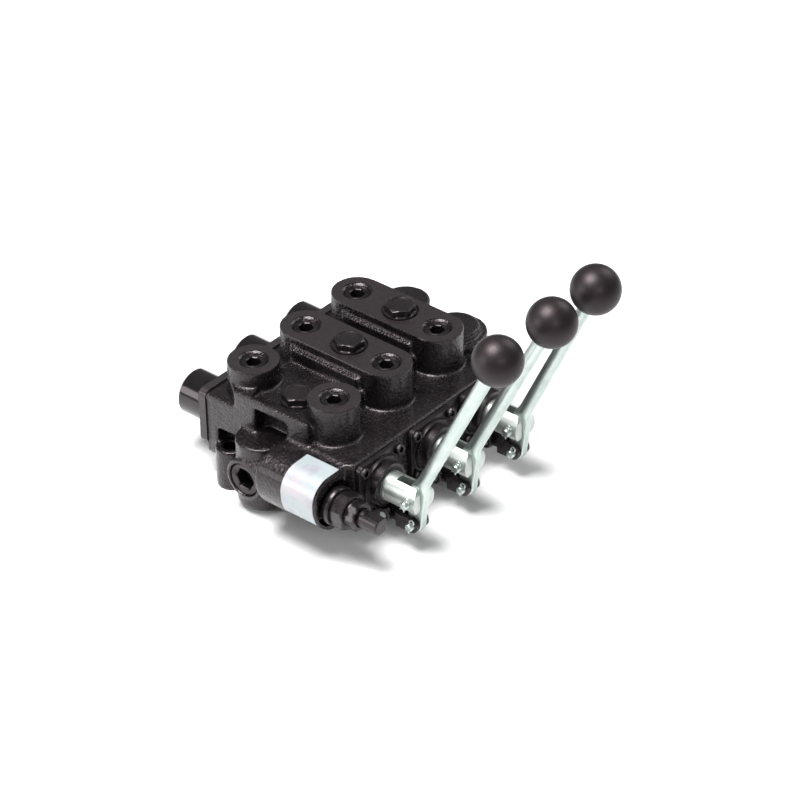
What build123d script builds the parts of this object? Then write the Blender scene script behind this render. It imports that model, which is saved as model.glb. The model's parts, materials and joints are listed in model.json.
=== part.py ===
from build123d import *
import os
from math import asin, cos, degrees, radians, sin

# Three-spool monoblock directional control valve, in millimetres.
# X runs along the row of sections, from the inlet side (-X) to the outlet side (+X).
# -Y points to the operator's levers and +Y to the spring caps. Z = 0 is the mounting face.

os.makedirs("parts", exist_ok=True)

# Driving dimensions
section_pitch = 54.0
section_x = (-section_pitch, 0.0, section_pitch)
port_y = 36.2                      # work ports stand this far each side of the middle
pad_z = 91.5                       # machined tops of the work ports
pad_radius = 18.3
spool_z = 41.0
spool_radius = 10.7
bore_radius = spool_radius + 0.03
spool_travel = 8.0

# Casting
side_x = 79.0
front_y = -73.0
rear_y = 59.3
core_bottom_z = 18.0
front_deck_z = 63.5
rear_deck_z = 66.4
check_deck_z = 76.0
first_deck_z = 80.0
deck_front_y = -33.0
deck_rear_y = 32.0
rail_width = 5.0
base_half_x = 72.0
base_front_y = -50.0
base_rear_y = 46.0
check_y = -3.0                     # load checks sit just in front of the middle
rib_z = 85.0
rib_margin = 4.0
rib_y = (-29.5, 33.0)
counterbore_y = 50.0               # where the spring chamber starts behind the spool bore
chamber_radius = 14.2
groove_radius = spool_radius + 3.5
groove_half = 4.0
groove_y = (-port_y, -15.0, 8.5, port_y)

# Ports
port_thread_radius = 9.3
port_thread_depth = 16.0
spot_face_radius = 11.0
side_thread_radius = 12.4
side_thread_depth = 19.0
side_plug_socket = 14.2
inlet = (-79.0, 8.5)               # plan position of the inlet boss
inlet_radius = 18.0
inlet_top_z = 54.0
side_port_z = 28.0
side_port_radius = 15.5
inlet_port_x = -99.0
pocket_x = -67.0                   # recess in the wall over the inlet boss
pocket_y = (-14.0, 14.0)
pocket_top_z = 73.0
pocket_corner = 6.0
outlet = (82.0, -29.0)
outlet_radius = 22.5
outlet_step_z = 71.4
outlet_top_z = 76.0
outlet_top_radius = 17.0
outlet_port_x = 107.0
blank_boss = (77.0, 12.0)
blank_boss_radius = 17.5
blank_boss_z = 83.2
gallery_z = 22.0
gallery_radius = 6.0
rise_radius = 5.0

# Load checks
check_seat_z = 61.0
check_seat_radius = 5.0
check_chamber_radius = 7.6
check_thread_depth = 12.0
check_hex = 19.5
check_hex_height = 5.5
check_washer = 1.2

# Relief valve
relief_x = -91.0
relief_z = 38.2
relief_left_x = -112.0
relief_front_y = -67.0
housing_rear_y = -14.0
neck_radius = 7.5
relief_bore_radius = 11.1
relief_seat_y = -30.0
poppet_radius = 5.0
cartridge_hex = 24.0
cartridge_hex_y = -74.0
cartridge_front_y = -83.0
collar_radius = 15.5
collar_rear_y = relief_front_y + 8
lock_nut_hex = 19.0
lock_nut_y = -84.2
lock_nut_height = 7.0
adjuster_radius = 6.35
adjuster_flats = 10.6
adjuster_end_y = -108.0
follower_y = -60.0
relief_spring_end_y = -41.0
spring_room_radius = 7.5
label_rear_y = -38.0
label_front_y = -66.0
label_right = -84.5
label_bottom = 30.0
label_thickness = 0.4

# Mounting
foot_x = 76.0
foot_y = 40.0
foot_z = 31.0
foot_radius = 11.0
foot_hole_radius = 5.25            # clears a 3/8 in bolt
notch_radius = 9.0
notch_height = 11.0                # room for the bolt head above the foot
tap_x = section_pitch / 2
tap_y = -36.0
tap_radius = 4.0                   # tapped 3/8 in, stated at its minor radius
tap_depth = 16.0

# Lever linkage, in the plane of each section
pin_y = -107.0
link_pin_z = 20.5
anchor_y = -84.0
pin_radius = 2.95
pin_clearance = 0.05
pin_head = 1.6
pin_head_radius = 4.4
strip_thickness = 6.2
slot_width = 6.8
slot_root_y = -93.0
clevis_tip_y = -113.5
clevis_corner = 6.0
strip_foot = (pin_y, link_pin_z, 6.3)
strip_middle = (-109.5, 43.0, 6.9)
rod_radius = 4.9
rod_start = (-114.4, 57.0)
rod_length = 138.7
rod_lean = (26.9, 26.8, 26.2)      # the three levers were bent by hand, so they differ a little
rod_side_lean = (0.1, 0.9, -1.7)
knob_radius = 17.2
knob_flat = 14.4                   # from the knob's centre to the flat round the rod
ear_thickness = 3.0
ear_radius = 5.4
ear_root_y = -93.5
fork_slot_y = -97.5
ear_inner = slot_width / 2 + 0.05
tongue_radius = 4.2
tongue_half = 3.0
eye_drop = 2.4
anchor_radius = 2.5
anchor_play = 0.35
anchor_rise = 2.1
lug_radius = 5.6
lug_inner = tongue_half + 0.4
lug_outer = 8.2
cotter_wire = 0.75
cotter_eye = (1.7, 0.62)

# Front seal retainers and rear caps
retainer_half = 22.3
retainer_top_z = 62.0
retainer_corner = 5.0
flange_y = -76.5
hub_radius = 19.0
hub_y = -79.0
nose_radius = 15.7
nose_y = -84.5
screw_x = 18.0
screw_z = 16.5
screw_radius = 2.5
screw_clearance = 0.2
screw_head_radius = 4.0
screw_head = 3.2
screw_socket = 4.0
wiper_radius = 13.4
wiper_depth = 4.0
cap_plate_half = 25.4
cap_plate_z = (24.0, 67.6)
cap_flange_y = 65.3
cap_radius = 16.4
cap_end_y = 96.0
cap_wall = 3.0
cap_edge = 2.5
cap_middle_z = sum(cap_plate_z) / 2
cap_screws = ((-19.5, cap_middle_z + 10.5), (19.5, cap_middle_z - 10.5))
tail_radius = 5.0
tail_end_y = 81.5
seat_thickness = 1.5
end_screw_head = 3.0


def turned(plane, outline, mode=Mode.ADD):
    """Revolves an outline of (radius, distance along the plane's local Y) about that Y."""
    with BuildSketch(plane) as profile:
        with BuildLine():
            Polyline(*outline, close=True)
        make_face()
    revolve(profile.sketch, axis=Axis(plane.origin, plane.y_dir), mode=mode)


def stepped(*spans):
    """Outline of a stepped shaft from (start, end, radius) spans, in order."""
    points = [(0, spans[0][0])]
    for start, end, radius in spans:
        points += [(radius, start), (radius, end)]
    return points + [(0, spans[-1][1])]


def shaft(plane, *spans):
    turned(plane, stepped(*spans))


def bore(plane, *spans):
    turned(plane, stepped(*spans), Mode.SUBTRACT)


def along_y(x, z):
    """Plane whose local Y is the global Y, with its origin on the line at x, z."""
    return Plane(origin=(x, 0, z), x_dir=(1, 0, 0), z_dir=(0, 0, 1))


def along_z(x, y):
    return Plane(origin=(x, y, 0), x_dir=(1, 0, 0), z_dir=(0, -1, 0))


def along_x(y, z):
    return Plane(origin=(0, y, z), x_dir=(0, 0, 1), z_dir=(0, 1, 0))


def hexagon_prism(plane, across_flats, start, length, mode=Mode.ADD, turn=0.0):
    """Hexagonal prism along the plane's local Y."""
    ends = Plane(origin=plane.origin + plane.y_dir * start, x_dir=plane.x_dir, z_dir=plane.y_dir)
    with BuildSketch(ends) as profile:
        RegularPolygon(across_flats / 2, 6, major_radius=False, rotation=turn)
    extrude(profile.sketch, amount=length, mode=mode)


def block(x_span, y_span, z_span, mode=Mode.ADD):
    """Plain block given by its lowest and highest x, y and z."""
    centre = tuple((low + high) / 2 for low, high in (x_span, y_span, z_span))
    with Locations(centre):
        Box(x_span[1] - x_span[0], y_span[1] - y_span[0], z_span[1] - z_span[0], mode=mode)


def housing_section(plane, grow=0.0):
    """Section of the relief housing: flat on top, round towards the left and underneath."""
    inner_x = -side_x + 8
    with BuildSketch(plane) as section:
        with BuildLine():
            top = Line((inner_x, front_deck_z - 1), (-97, front_deck_z - 1.5))
            corner = TangentArc(top @ 1, (relief_left_x, 45), tangent=top % 1)
            belly = TangentArc(corner @ 1, (-94, core_bottom_z), tangent=(0, -1))
            Polyline(belly @ 1, (inner_x, core_bottom_z), top @ 0)
        make_face()
        if grow:
            offset(amount=grow)
    return section.sketch


def check_top(x):
    """Height of the face that a section's load-check plug seats on."""
    return check_deck_z if x < 0 else pad_z


def coil(plane, radius, wire_radius, start, end, turns):
    """Helical spring along the plane's local Y, clear of its seats by one wire radius."""
    low, high = start + 2 * wire_radius, end - 2 * wire_radius
    base = Plane(origin=plane.origin + plane.y_dir * low, x_dir=plane.x_dir, z_dir=plane.y_dir)
    path = base.location * Helix(pitch=(high - low) / turns, height=high - low, radius=radius)
    with BuildSketch(Plane(origin=path @ 0, z_dir=path % 0)) as wire:
        Circle(wire_radius)
    sweep(wire.sketch, path=path, is_frenet=True)


# The monoblock casting
with BuildPart() as valve_body:
    # Core, which the three spools cross, with rounded upright corners
    with BuildSketch(Plane.XY.offset(core_bottom_z)) as core_plan:
        with Locations((0, (front_y + rear_y) / 2)):
            RectangleRounded(2 * side_x, rear_y - front_y, 6)
    extrude(amount=front_deck_z - core_bottom_z)
    block((-side_x, side_x), (deck_rear_y - 2, rear_y), (front_deck_z - 1, rear_deck_z))
    # Foot of the casting, down to the mounting face
    with BuildSketch(Plane.XY) as base_plan:
        with Locations((0, (base_front_y + base_rear_y) / 2)):
            RectangleRounded(2 * base_half_x, base_rear_y - base_front_y, 10)
    extrude(amount=core_bottom_z)
    # Raised deck between the work ports, higher beside the first section's rear one
    block((-side_x, side_x), (deck_front_y, deck_rear_y), (front_deck_z, check_deck_z))
    block((-side_x, -side_x + rail_width), (deck_front_y, deck_rear_y - 2), (check_deck_z, first_deck_z))
    with BuildSketch(Plane.XY.offset(front_deck_z)) as shoulder_plan:
        with BuildLine():
            Polyline((-side_x, 20), (-side_x, deck_rear_y), (-66, 50), (-46, port_y), (-46, 24), close=True)
        make_face()
    extrude(amount=first_deck_z - front_deck_z)
    # First section: two separate port bosses; the others: one long pad with a rib each side
    with BuildSketch(Plane.XY.offset(front_deck_z)) as boss_plan:
        with Locations((section_x[0], port_y), (section_x[0], -port_y)):
            Circle(pad_radius)
        with Locations((section_x[1], 0, 0), (section_x[2], 0, 0)):
            SlotCenterToCenter(2 * port_y, 2 * pad_radius, rotation=90)
    extrude(amount=pad_z - front_deck_z)
    with BuildSketch(Plane.XY.offset(front_deck_z)) as rib_plan:
        with Locations((section_x[1], sum(rib_y) / 2), (section_x[2], sum(rib_y) / 2)):
            RectangleRounded(2 * (pad_radius + rib_margin), rib_y[1] - rib_y[0], 3)
    extrude(amount=rib_z - front_deck_z)

    # Relief valve housing, with a neck back to the inlet boss
    extrude(housing_section(Plane.XZ.offset(-housing_rear_y)), amount=housing_rear_y - relief_front_y)
    shaft(along_y(relief_x, relief_z), (housing_rear_y - 1, inlet[1], neck_radius))

    # Recess in the side wall over the inlet boss, with its rear inner corner rounded
    with BuildSketch(Plane.XY.offset(inlet_top_z)) as pocket_plan:
        with BuildLine():
            FilletPolyline((-side_x - 1, pocket_y[1]), (pocket_x, pocket_y[1]), (pocket_x, pocket_y[0]),
                           (-side_x - 1, pocket_y[0]), radius=pocket_corner, close=False)
            Line((-side_x - 1, pocket_y[0]), (-side_x - 1, pocket_y[1]))
        make_face()
    extrude(amount=pocket_top_z - inlet_top_z, mode=Mode.SUBTRACT)

    # Inlet boss and outlet boss with their side ports, and a blank boss
    turned(along_z(*inlet),
           [(0, 1), (14, 1), (inlet_radius, 5), (inlet_radius, inlet_top_z), (0, inlet_top_z)])
    shaft(along_x(inlet[1], side_port_z), (inlet_port_x, inlet[0], side_port_radius))
    shaft(along_z(*blank_boss), (core_bottom_z, blank_boss_z, blank_boss_radius))
    turned(along_z(*outlet),
           [(0, 8), (16, 8), (outlet_radius, 14), (outlet_radius, outlet_step_z),
            (outlet_top_radius, outlet_step_z), (outlet_top_radius, outlet_top_z), (0, outlet_top_z)])
    shaft(along_x(outlet[1], side_port_z), (outlet[0], outlet_port_x, side_port_radius))

    # Rear feet with bolt holes, and room above each for the bolt head
    for x in (-foot_x, foot_x):
        shaft(along_z(x, foot_y), (0, foot_z, foot_radius))
        bore(along_z(x, foot_y), (foot_z, foot_z + notch_height, notch_radius))
        bore(along_z(x, foot_y), (-1, foot_z + 1, foot_hole_radius))
    # Tapped holes in the mounting face, under the front of the block
    for x in (-tap_x, tap_x):
        bore(along_z(x, tap_y), (-1, tap_depth, tap_radius))

    # A pair of lugs under each spool for the link's anchor pin
    for x in section_x:
        for side in (-1, 1):
            near, far = sorted((x + side * lug_inner, x + side * lug_outer))
            with BuildSketch(Plane.YZ.offset(near)) as lug_profile:
                with Locations((anchor_y, link_pin_z)):
                    Circle(lug_radius)
                with Locations(((anchor_y + base_front_y + 2) / 2, link_pin_z)):
                    Rectangle(base_front_y + 2 - anchor_y, 2 * lug_radius)
            extrude(amount=far - near)
        bore(along_x(anchor_y, link_pin_z), (x - 12, x + 12, anchor_radius))

    for x in section_x:
        # Spool bore with its oil grooves and the spring chamber behind
        bore(along_y(x, spool_z), (front_y - 1, rear_y + 1, bore_radius))
        bore(along_y(x, spool_z), (counterbore_y, rear_y + 1, chamber_radius))
        for middle in groove_y:
            bore(along_y(x, spool_z), (middle - groove_half, middle + groove_half, groove_radius))
        # Work ports: threads at the top, then a drilled way down to the spool
        for y in (-port_y, port_y):
            bottom = pad_z - port_thread_depth
            bore(along_z(x, y), (spool_z, bottom, 6.5), (bottom, pad_z + 1, port_thread_radius))
            bore(along_z(x, y), (pad_z - 0.6, pad_z + 1, spot_face_radius))
        # Screw holes for the seal retainer and the rear cap
        for dx in (-screw_x, screw_x):
            for dz in (-screw_z, screw_z):
                bore(along_y(x + dx, spool_z + dz), (front_y - 1, front_y + 14, screw_radius))
        for dx, z in cap_screws:
            bore(along_y(x + dx, z), (rear_y - 14, rear_y + 1, screw_radius))
        # Load check: threads for its plug, a chamber, and the seat over the spool
        bore(along_z(x, check_y),
             (spool_z, check_seat_z, check_seat_radius),
             (check_seat_z, check_top(x) - check_thread_depth, check_chamber_radius),
             (check_top(x) - check_thread_depth, check_top(x) + 1, port_thread_radius))
        bore(along_z(x, inlet[1]), (gallery_z, spool_z, rise_radius))

    # Inlet and outlet threads, and the gallery between them under the spools
    inlet_bottom_x = inlet_port_x + side_thread_depth
    outlet_bottom_x = outlet_port_x - side_thread_depth
    bore(along_x(inlet[1], side_port_z), (inlet_port_x - 1, inlet_bottom_x, side_thread_radius))
    bore(along_z(*inlet), (gallery_z, 46, 9))
    bore(along_x(inlet[1], gallery_z), (inlet[0], outlet[0], gallery_radius))
    bore(along_y(outlet[0], gallery_z), (outlet[1], inlet[1], gallery_radius))
    bore(along_x(outlet[1], side_port_z),
         (outlet[0] - 2, outlet_bottom_x, 8), (outlet_bottom_x, outlet_port_x + 1, side_thread_radius))
    # Relief valve bore, its seat and the way to the inlet
    bore(along_y(relief_x, relief_z),
         (relief_front_y - 1, collar_rear_y, collar_radius),
         (collar_rear_y, relief_seat_y, relief_bore_radius),
         (relief_seat_y, inlet[1], poppet_radius - 0.6))
valve_body.part.label = "valve_body"
export_step(valve_body.part, "parts/valve_body.step")

# Ports: flush plugs with a hexagon socket in each work port
plug_top = pad_z - 2.2
with BuildPart() as work_port_plugs:
    for x in section_x:
        for y in (-port_y, port_y):
            shaft(along_z(x, y), (pad_z - port_thread_depth, plug_top, port_thread_radius - 0.05))
            hexagon_prism(along_z(x, y), 9.6, plug_top - 7, 8, Mode.SUBTRACT, turn=15)
    chamfer(work_port_plugs.edges().filter_by(GeomType.CIRCLE).group_by(Axis.Z)[-1], 0.8)
work_port_plugs.part.label = "work_port_plugs"
export_step(work_port_plugs.part, "parts/work_port_plugs.step")

# The same plug in the inlet's and the outlet's side ports
plug_inset = 0.8
plug_length = 13.2
plug_socket_depth = 9.2
with BuildPart() as side_port_plugs:
    for face_x, y, inward in ((inlet_port_x, inlet[1], 1), (outlet_port_x, outlet[1], -1)):
        outer = face_x + inward * plug_inset
        inner = outer + inward * plug_length
        floor = outer + inward * plug_socket_depth
        side_axis = along_x(y, side_port_z)
        shaft(side_axis, (min(outer, inner), max(outer, inner), side_thread_radius - 0.05))
        socket_start, socket_end = sorted((face_x - inward, floor))
        hexagon_prism(side_axis, side_plug_socket, socket_start, socket_end - socket_start, Mode.SUBTRACT)
    rims = side_port_plugs.edges().filter_by(GeomType.CIRCLE).group_by(Axis.X)
    chamfer(rims[0] + rims[-1], 1.0)
side_port_plugs.part.label = "side_port_plugs"
export_step(side_port_plugs.part, "parts/side_port_plugs.step")

# Load checks: a hollow plug guides each poppet, which a spring holds on its seat
with BuildPart() as load_check_plugs:
    for x in section_x:
        top = check_top(x)
        washer_top = top + check_washer
        shaft(along_z(x, check_y),
              (top - check_thread_depth + 0.5, top, port_thread_radius - 0.05), (top, washer_top, 11.2))
        hexagon_prism(along_z(x, check_y), check_hex, washer_top, check_hex_height - check_washer, turn=30)
        bore(along_z(x, check_y), (check_seat_z, top - 1, check_chamber_radius))
load_check_plugs.part.label = "load_check_plugs"
export_step(load_check_plugs.part, "parts/load_check_plugs.step")

for number, x in enumerate(section_x, start=1):
    roof = check_top(x) - 1
    skirt_radius = check_chamber_radius - 0.05
    guide_radius = check_seat_radius - 0.1
    with BuildPart() as load_check_poppet:
        turned(along_z(x, check_y),
               [(0, check_seat_z - 2.5), (3.4, check_seat_z - 2.5), (guide_radius, check_seat_z - 0.9),
                (guide_radius, check_seat_z + 0.02), (skirt_radius, check_seat_z + 0.02),
                (skirt_radius, check_seat_z + 7), (0, check_seat_z + 7)])
        bore(along_z(x, check_y), (check_seat_z + 2, check_seat_z + 8, 5.6))
    load_check_poppet.part.label = f"load_check_poppet_{number}"
    export_step(load_check_poppet.part, f"parts/load_check_poppet_{number}.step")

    with BuildPart() as load_check_spring:
        coil(along_z(x, check_y), 4.6, 0.45, check_seat_z + 2, roof, round((roof - check_seat_z) / 2.6))
    load_check_spring.part.label = f"load_check_spring_{number}"
    export_step(load_check_spring.part, f"parts/load_check_spring_{number}.step")

# Relief valve: cartridge, lock nut, adjusting screw, spring follower, spring and poppet
relief_axis = along_y(relief_x, relief_z)
with BuildPart() as relief_cartridge:
    shaft(relief_axis,
          (cartridge_front_y - 1, cartridge_hex_y, adjuster_radius + 4),
          (cartridge_hex_y, collar_rear_y, 11.5),
          (collar_rear_y, relief_seat_y - 2, relief_bore_radius - 0.05))
    hexagon_prism(relief_axis, cartridge_hex, cartridge_front_y, cartridge_hex_y - cartridge_front_y, turn=10)
    bore(relief_axis,
         (cartridge_front_y - 2, follower_y - 4, adjuster_radius + 0.05),
         (follower_y - 4, relief_seat_y - 6, spring_room_radius),
         (relief_seat_y - 6, relief_seat_y - 1, poppet_radius + 0.05))
relief_cartridge.part.label = "relief_cartridge"
export_step(relief_cartridge.part, "parts/relief_cartridge.step")

with BuildPart() as relief_lock_nut:
    hexagon_prism(relief_axis, lock_nut_hex, lock_nut_y - lock_nut_height, lock_nut_height, turn=25)
    bore(relief_axis, (lock_nut_y - lock_nut_height - 1, lock_nut_y + 1, adjuster_radius + 0.08))
relief_lock_nut.part.label = "relief_lock_nut"
export_step(relief_lock_nut.part, "parts/relief_lock_nut.step")

with BuildPart() as relief_adjusting_screw:
    tip_y = follower_y - 0.02
    turned(relief_axis,
           [(0, adjuster_end_y), (adjuster_radius - 0.8, adjuster_end_y),
            (adjuster_radius, adjuster_end_y + 0.8), (adjuster_radius, follower_y - 6),
            (4, follower_y - 6), (4, tip_y), (0, tip_y)])
    # Spanner flats above and below on the outer end
    for side in (-1, 1):
        low, high = sorted((side * adjuster_flats / 2, side * (adjuster_radius + 1)))
        block((relief_x - adjuster_radius, relief_x + adjuster_radius), (adjuster_end_y - 1, adjuster_end_y + 13),
              (relief_z + low, relief_z + high), Mode.SUBTRACT)
relief_adjusting_screw.part.label = "relief_adjusting_screw"
export_step(relief_adjusting_screw.part, "parts/relief_adjusting_screw.step")

with BuildPart() as relief_spring_follower:
    shaft(relief_axis,
          (follower_y, follower_y + 3, spring_room_radius - 0.1), (follower_y + 3, follower_y + 7, 3.2))
relief_spring_follower.part.label = "relief_spring_follower"
export_step(relief_spring_follower.part, "parts/relief_spring_follower.step")

with BuildPart() as relief_spring:
    coil(relief_axis, 5.4, 1.1, follower_y + 3, relief_spring_end_y, 5)
relief_spring.part.label = "relief_spring"
export_step(relief_spring.part, "parts/relief_spring.step")

with BuildPart() as relief_poppet:
    seat_end_y = relief_seat_y - 0.02
    turned(relief_axis,
           [(0, -46), (3.2, -46), (3.2, relief_spring_end_y), (7.3, relief_spring_end_y), (7.3, -38.5),
            (poppet_radius, -38.5), (poppet_radius, seat_end_y), (poppet_radius - 0.75, seat_end_y),
            (3, -26), (0, -26)])
relief_poppet.part.label = "relief_poppet"
export_step(relief_poppet.part, "parts/relief_poppet.step")

# Blank data plate wrapped over the relief housing
with BuildPart() as data_plate:
    plate_width = label_rear_y - label_front_y
    extrude(housing_section(Plane.XZ.offset(-label_rear_y), label_thickness), amount=plate_width)
    extrude(housing_section(Plane.XZ.offset(-label_rear_y - 1)), amount=plate_width + 2, mode=Mode.SUBTRACT)
    block((label_right, 0), (-90, 0), (0, 90), Mode.SUBTRACT)
    block((-130, 0), (-90, 0), (0, label_bottom), Mode.SUBTRACT)
data_plate.part.label = "data_plate"
export_step(data_plate.part, "parts/data_plate.step")

# Front seal retainers: a square flange with four screws, a hub and a nose round the spool
for number, x in enumerate(section_x, start=1):
    spool_axis = along_y(x, spool_z)
    with BuildPart() as seal_retainer:
        with BuildSketch(Plane.XZ.offset(-front_y)) as flange_profile:
            with Locations((x, spool_z)):
                RectangleRounded(2 * retainer_half, 2 * (retainer_top_z - spool_z), retainer_corner)
        extrude(amount=front_y - flange_y)
        shaft(spool_axis, (nose_y, hub_y, nose_radius), (hub_y, flange_y, hub_radius))
        # Notch over the lugs for the fork link
        block((x - lug_outer - 0.5, x + lug_outer + 0.5), (nose_y - 1, front_y),
              (0, link_pin_z + lug_radius + 0.4), Mode.SUBTRACT)
        for dx in (-screw_x, screw_x):
            for dz in (-screw_z, screw_z):
                bore(along_y(x + dx, spool_z + dz), (flange_y - 1, front_y + 1, screw_radius + screw_clearance))
        bore(spool_axis,
             (nose_y - 1, nose_y + wiper_depth, wiper_radius),
             (nose_y + wiper_depth, front_y + 1, spool_radius + 0.3))
    seal_retainer.part.label = f"seal_retainer_{number}"
    export_step(seal_retainer.part, f"parts/seal_retainer_{number}.step")

with BuildPart() as retainer_screws:
    for x in section_x:
        for dx in (-screw_x, screw_x):
            for dz in (-screw_z, screw_z):
                screw_axis = along_y(x + dx, spool_z + dz)
                shaft(screw_axis,
                      (flange_y - screw_head, flange_y, screw_head_radius), (flange_y, front_y + 12, screw_radius))
                hexagon_prism(screw_axis, screw_socket, flange_y - screw_head - 1, 3.2, Mode.SUBTRACT)
retainer_screws.part.label = "retainer_screws"
export_step(retainer_screws.part, "parts/retainer_screws.step")

with BuildPart() as wiper_seals:
    for x in section_x:
        shaft(along_y(x, spool_z), (nose_y + 0.4, nose_y + wiper_depth, wiper_radius - 0.02))
        bore(along_y(x, spool_z), (nose_y, front_y, spool_radius + 0.04))
wiper_seals.part.label = "wiper_seals"
export_step(wiper_seals.part, "parts/wiper_seals.step")

# Rear caps over the centring springs
for number, x in enumerate(section_x, start=1):
    with BuildPart() as rear_cap:
        with BuildSketch(Plane.XZ.offset(-rear_y)) as cap_flange_profile:
            with Locations((x, cap_middle_z)):
                RectangleRounded(2 * cap_plate_half, cap_plate_z[1] - cap_plate_z[0], 5)
        extrude(amount=rear_y - cap_flange_y)
        turned(along_y(x, spool_z),
               [(0, rear_y), (cap_radius, rear_y), (cap_radius, cap_end_y - cap_edge),
                (cap_radius - cap_edge, cap_end_y), (0, cap_end_y)])
        bore(along_y(x, spool_z), (rear_y - 1, cap_end_y - cap_wall, chamber_radius - 0.2))
        for dx, z in cap_screws:
            bore(along_y(x + dx, z), (rear_y - 1, cap_flange_y + 1, screw_radius + screw_clearance))
    rear_cap.part.label = f"rear_cap_{number}"
    export_step(rear_cap.part, f"parts/rear_cap_{number}.step")

with BuildPart() as cap_screw_group:
    for x in section_x:
        for dx, z in cap_screws:
            shaft(along_y(x + dx, z),
                  (rear_y - 12, cap_flange_y, screw_radius), (cap_flange_y, cap_flange_y + 4, 3.3))
            hexagon_prism(along_y(x + dx, z), 3.4, cap_flange_y + 1, 4, Mode.SUBTRACT)
cap_screw_group.part.label = "cap_screws"
export_step(cap_screw_group.part, "parts/cap_screws.step")

# Spools with their clevis ends, and the centring pack behind each
waist_spans = ((-60, -54), (-44, -28), (-22, -8), (2, 15), (21, 29), (42, 47))
waist_radius = 7.0
ring_groove_y = nose_y - 3.0
for number, x in enumerate(section_x, start=1):
    spool_axis = along_y(x, spool_z)
    with BuildPart() as spool:
        shaft(spool_axis,
              (clevis_tip_y, ring_groove_y, spool_radius),
              (ring_groove_y, ring_groove_y + 1, spool_radius - 0.5),
              (ring_groove_y + 1, rear_y, spool_radius),
              (rear_y, tail_end_y, tail_radius))
        for start, end in waist_spans:
            turned(spool_axis,
                   [(waist_radius, start), (spool_radius + 1, start), (spool_radius + 1, end), (waist_radius, end)],
                   Mode.SUBTRACT)
        # Clevis: a slot, a cross hole and rounded ends above and below the pin
        block((x - slot_width / 2, x + slot_width / 2), (-120, slot_root_y), (0, 90), Mode.SUBTRACT)
        bore(along_x(pin_y, spool_z), (x - 12, x + 12, pin_radius + pin_clearance))
        with BuildSketch(Plane.YZ.offset(x - 12)) as tip_waste:
            with Locations((clevis_tip_y, spool_z)):
                Rectangle(40, 30)
            with Locations((clevis_tip_y + 20, spool_z)):
                RectangleRounded(40, 2 * spool_radius, clevis_corner, mode=Mode.SUBTRACT)
                Rectangle(20, 40, mode=Mode.SUBTRACT)
        extrude(amount=24, mode=Mode.SUBTRACT)
        bore(spool_axis, (tail_end_y - 12, tail_end_y + 1, 3))
    spool.part.label = f"spool_{number}"
    export_step(spool.part, f"parts/spool_{number}.step")

    with BuildPart() as centering_spring:
        coil(spool_axis, 10.2, 1.3, rear_y + seat_thickness + 0.1, tail_end_y - seat_thickness - 0.1, 3.5)
    centering_spring.part.label = f"centering_spring_{number}"
    export_step(centering_spring.part, f"parts/centering_spring_{number}.step")

    with BuildPart() as spring_seats:
        for start in (rear_y, tail_end_y - seat_thickness):
            shaft(spool_axis, (start, start + seat_thickness, chamber_radius - 0.6))
        bore(spool_axis, (rear_y - 1, tail_end_y + 1, tail_radius + 0.05))
    spring_seats.part.label = f"spring_seats_{number}"
    export_step(spring_seats.part, f"parts/spring_seats_{number}.step")

    with BuildPart() as spool_end_screw:
        shaft(spool_axis,
              (tail_end_y - 11, tail_end_y, 2.95), (tail_end_y, tail_end_y + end_screw_head, 7))
        hexagon_prism(spool_axis, 5, tail_end_y + 1, 3, Mode.SUBTRACT)
    spool_end_screw.part.label = f"spool_end_screw_{number}"
    export_step(spool_end_screw.part, f"parts/spool_end_screw_{number}.step")

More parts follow.
